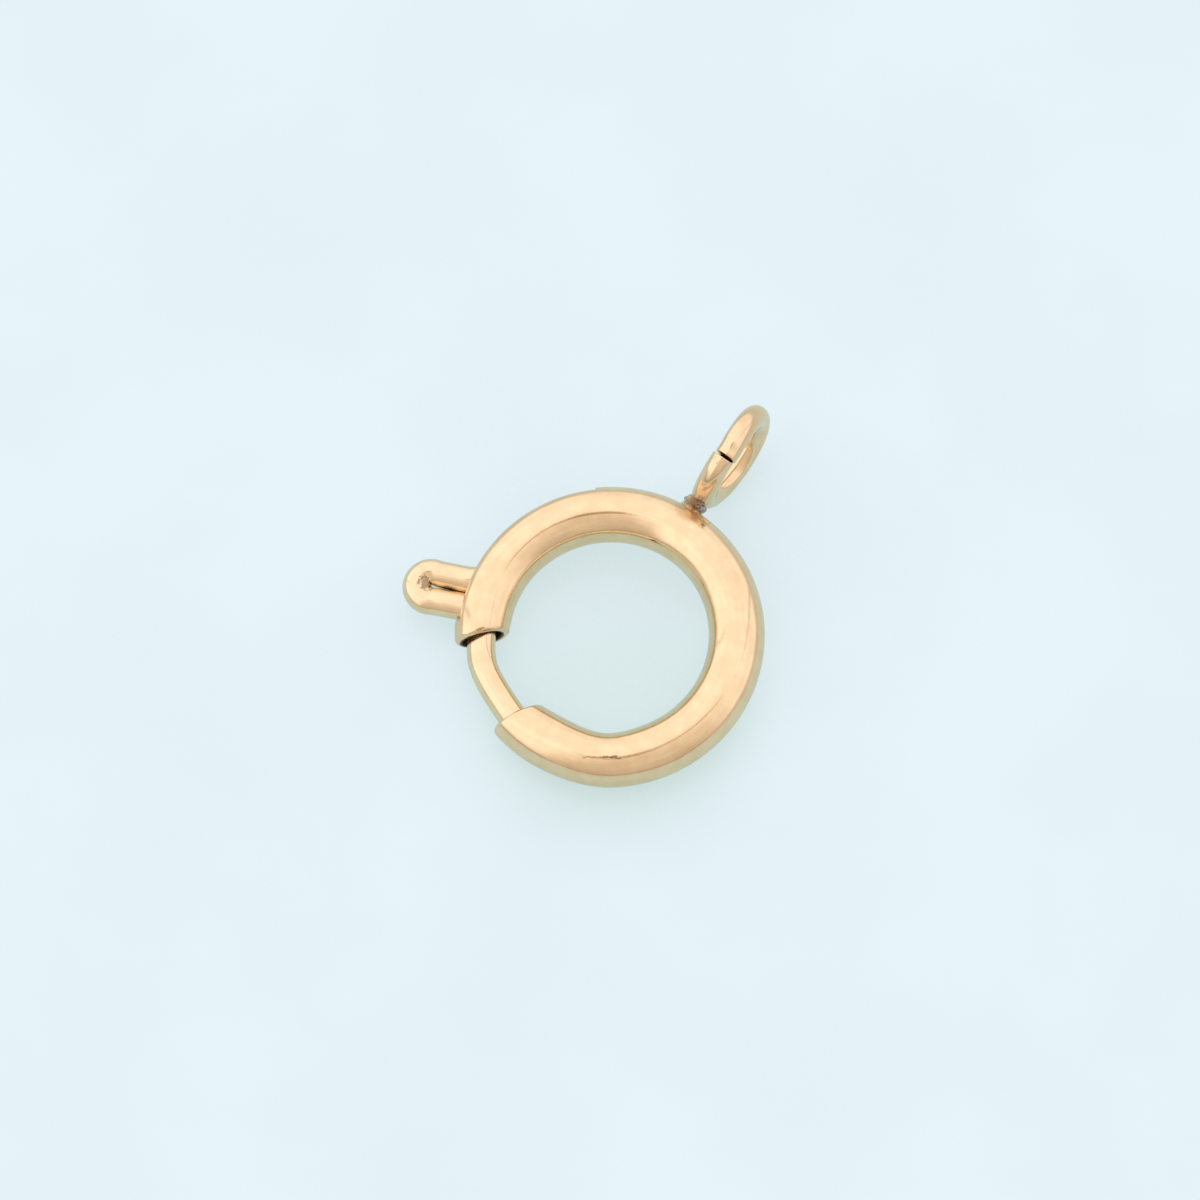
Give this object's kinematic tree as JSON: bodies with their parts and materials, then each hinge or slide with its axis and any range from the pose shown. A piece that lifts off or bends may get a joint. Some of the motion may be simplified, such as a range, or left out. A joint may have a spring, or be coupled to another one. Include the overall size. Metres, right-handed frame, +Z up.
{
  "type": "spring ring clasp",
  "caption": "Round spring-ring clasp: a bent tube whose sprung wire bolt is pulled back by a thumb lever to open the ring, with a small split bail soldered on for a chain.",
  "frame": {"origin": "centre of the clasp's box, on the surface that the clasp lies on", "axes": "+Z up from the surface; the bail stands out between +X and +Y, the thumb lever towards -X, and the ring's opening lies between -X and -Y"},
  "size_m": [0.0108, 0.0114, 0.0035],
  "materials": {
    "gold_case": "polished pale yellow gold plate, lightly tumbled",
    "gold_wire": "polished pale yellow gold plate on drawn wire",
    "spring_wire": "bright drawn spring wire"
  },
  "bodies": {
    "case": {"ring_case": "gold_case", "spring": "spring_wire"},
    "bolt": {"bolt": "gold_wire"}
  },
  "joints": [
    {"name": "bolt_pull", "type": "hinge", "parent": "case", "child": "bolt", "pos_m": [0.00067, -0.00116, 0.00115], "axis": [-0.0564, -0.0728, 0.9958], "range_deg": [-54, 0], "stiffness_Nm_per_rad": 0.0076, "springref_deg": 20.05, "deforming": ["spring"]}
  ]
}
